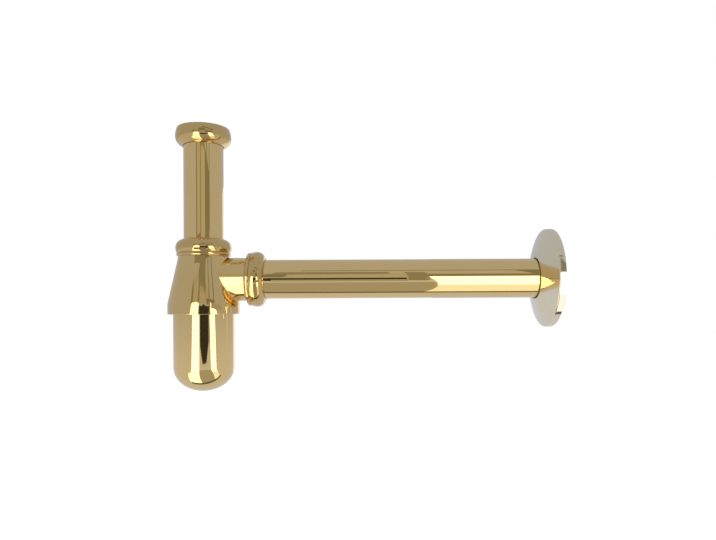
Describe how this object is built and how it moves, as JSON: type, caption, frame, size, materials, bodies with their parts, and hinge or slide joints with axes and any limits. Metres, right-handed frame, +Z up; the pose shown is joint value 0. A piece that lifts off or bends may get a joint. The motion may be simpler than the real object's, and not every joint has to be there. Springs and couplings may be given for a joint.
{
  "type": "bottle trap",
  "caption": "Polished brass bottle trap for a basin: inlet tube with union nut, conical body, screw-off domed cup, horizontal waste tube and wall flange.",
  "frame": {"origin": "centre of the inlet washer's top face, where the basin waste seals, on the inlet tube's axis", "axes": "+Z up the inlet tube towards the basin, +X along the waste tube towards the wall, +Y to the left of a person facing along +X"},
  "size_m": [0.3181, 0.08, 0.2146],
  "materials": {
    "polished_brass": "polished",
    "black_rubber": "matte",
    "white_plastic": "smooth"
  },
  "bodies": {
    "inlet_nut": {"inlet_nut": "polished_brass"},
    "inlet_tube": {"inlet_tube": "polished_brass", "inlet_washer": "black_rubber"},
    "neck_seal": {"neck_seal": "black_rubber"},
    "trap_body": {"trap_body": "polished_brass", "outlet_seal": "black_rubber"},
    "neck_ring": {"neck_slip_ring": "white_plastic"},
    "neck_nut": {"neck_nut": "polished_brass"},
    "outlet_ring": {"outlet_slip_ring": "white_plastic"},
    "outlet_nut": {"outlet_nut": "polished_brass"},
    "outlet_tube": {"outlet_tube": "polished_brass"},
    "wall_flange": {"wall_flange": "polished_brass"},
    "cup_ring": {"cup_seal": "black_rubber"},
    "cup": {"cup": "polished_brass"}
  },
  "joints": [
    {"name": "inlet_swivel", "type": "hinge", "parent": "inlet_nut", "child": "inlet_tube", "pos_m": [0, 0, 0], "axis": [0, 0, 1], "continuous": true},
    {"name": "height_slide", "type": "slide", "parent": "inlet_tube", "child": "neck_seal", "axis": [0, 0, 1], "range_m": [-0.035, 0.015]},
    {"name": "body_swivel", "type": "hinge", "parent": "neck_seal", "child": "trap_body", "pos_m": [0, 0, -0.1175], "axis": [0, 0, 1], "continuous": true},
    {"name": "neck_nut_travel", "type": "slide", "parent": "trap_body", "child": "neck_ring", "axis": [0, 0, 1], "range_m": [0, 0.00924]},
    {"name": "neck_nut_turn", "type": "hinge", "parent": "neck_ring", "child": "neck_nut", "pos_m": [0, 0, -0.09], "axis": [0, 0, 1], "range_deg": [0, 1440]},
    {"name": "outlet_nut_travel", "type": "slide", "parent": "trap_body", "child": "outlet_ring", "axis": [1, 0, 0], "range_m": [0, 0.00924]},
    {"name": "outlet_nut_turn", "type": "hinge", "parent": "outlet_ring", "child": "outlet_nut", "pos_m": [0.045, 0, -0.1175], "axis": [1, 0, 0], "range_deg": [0, 1440]},
    {"name": "outlet_slide", "type": "slide", "parent": "trap_body", "child": "outlet_tube", "axis": [1, 0, 0], "range_m": [0, 0.012]},
    {"name": "flange_slide", "type": "slide", "parent": "outlet_tube", "child": "wall_flange", "axis": [1, 0, 0], "range_m": [-0.2, 0]},
    {"name": "cup_travel", "type": "slide", "parent": "trap_body", "child": "cup_ring", "axis": [0, 0, -1], "range_m": [0, 0.00801]},
    {"name": "cup_turn", "type": "hinge", "parent": "cup_ring", "child": "cup", "pos_m": [0, 0, -0.15], "axis": [0, 0, -1], "range_deg": [0, 1440]}
  ],
  "couplings": [
    {"joint": "neck_nut_travel", "follows": "neck_nut_turn", "m_per_rad": 0.00036749},
    {"joint": "outlet_nut_travel", "follows": "outlet_nut_turn", "m_per_rad": 0.00036749},
    {"joint": "cup_travel", "follows": "cup_turn", "m_per_rad": 0.00031831}
  ]
}
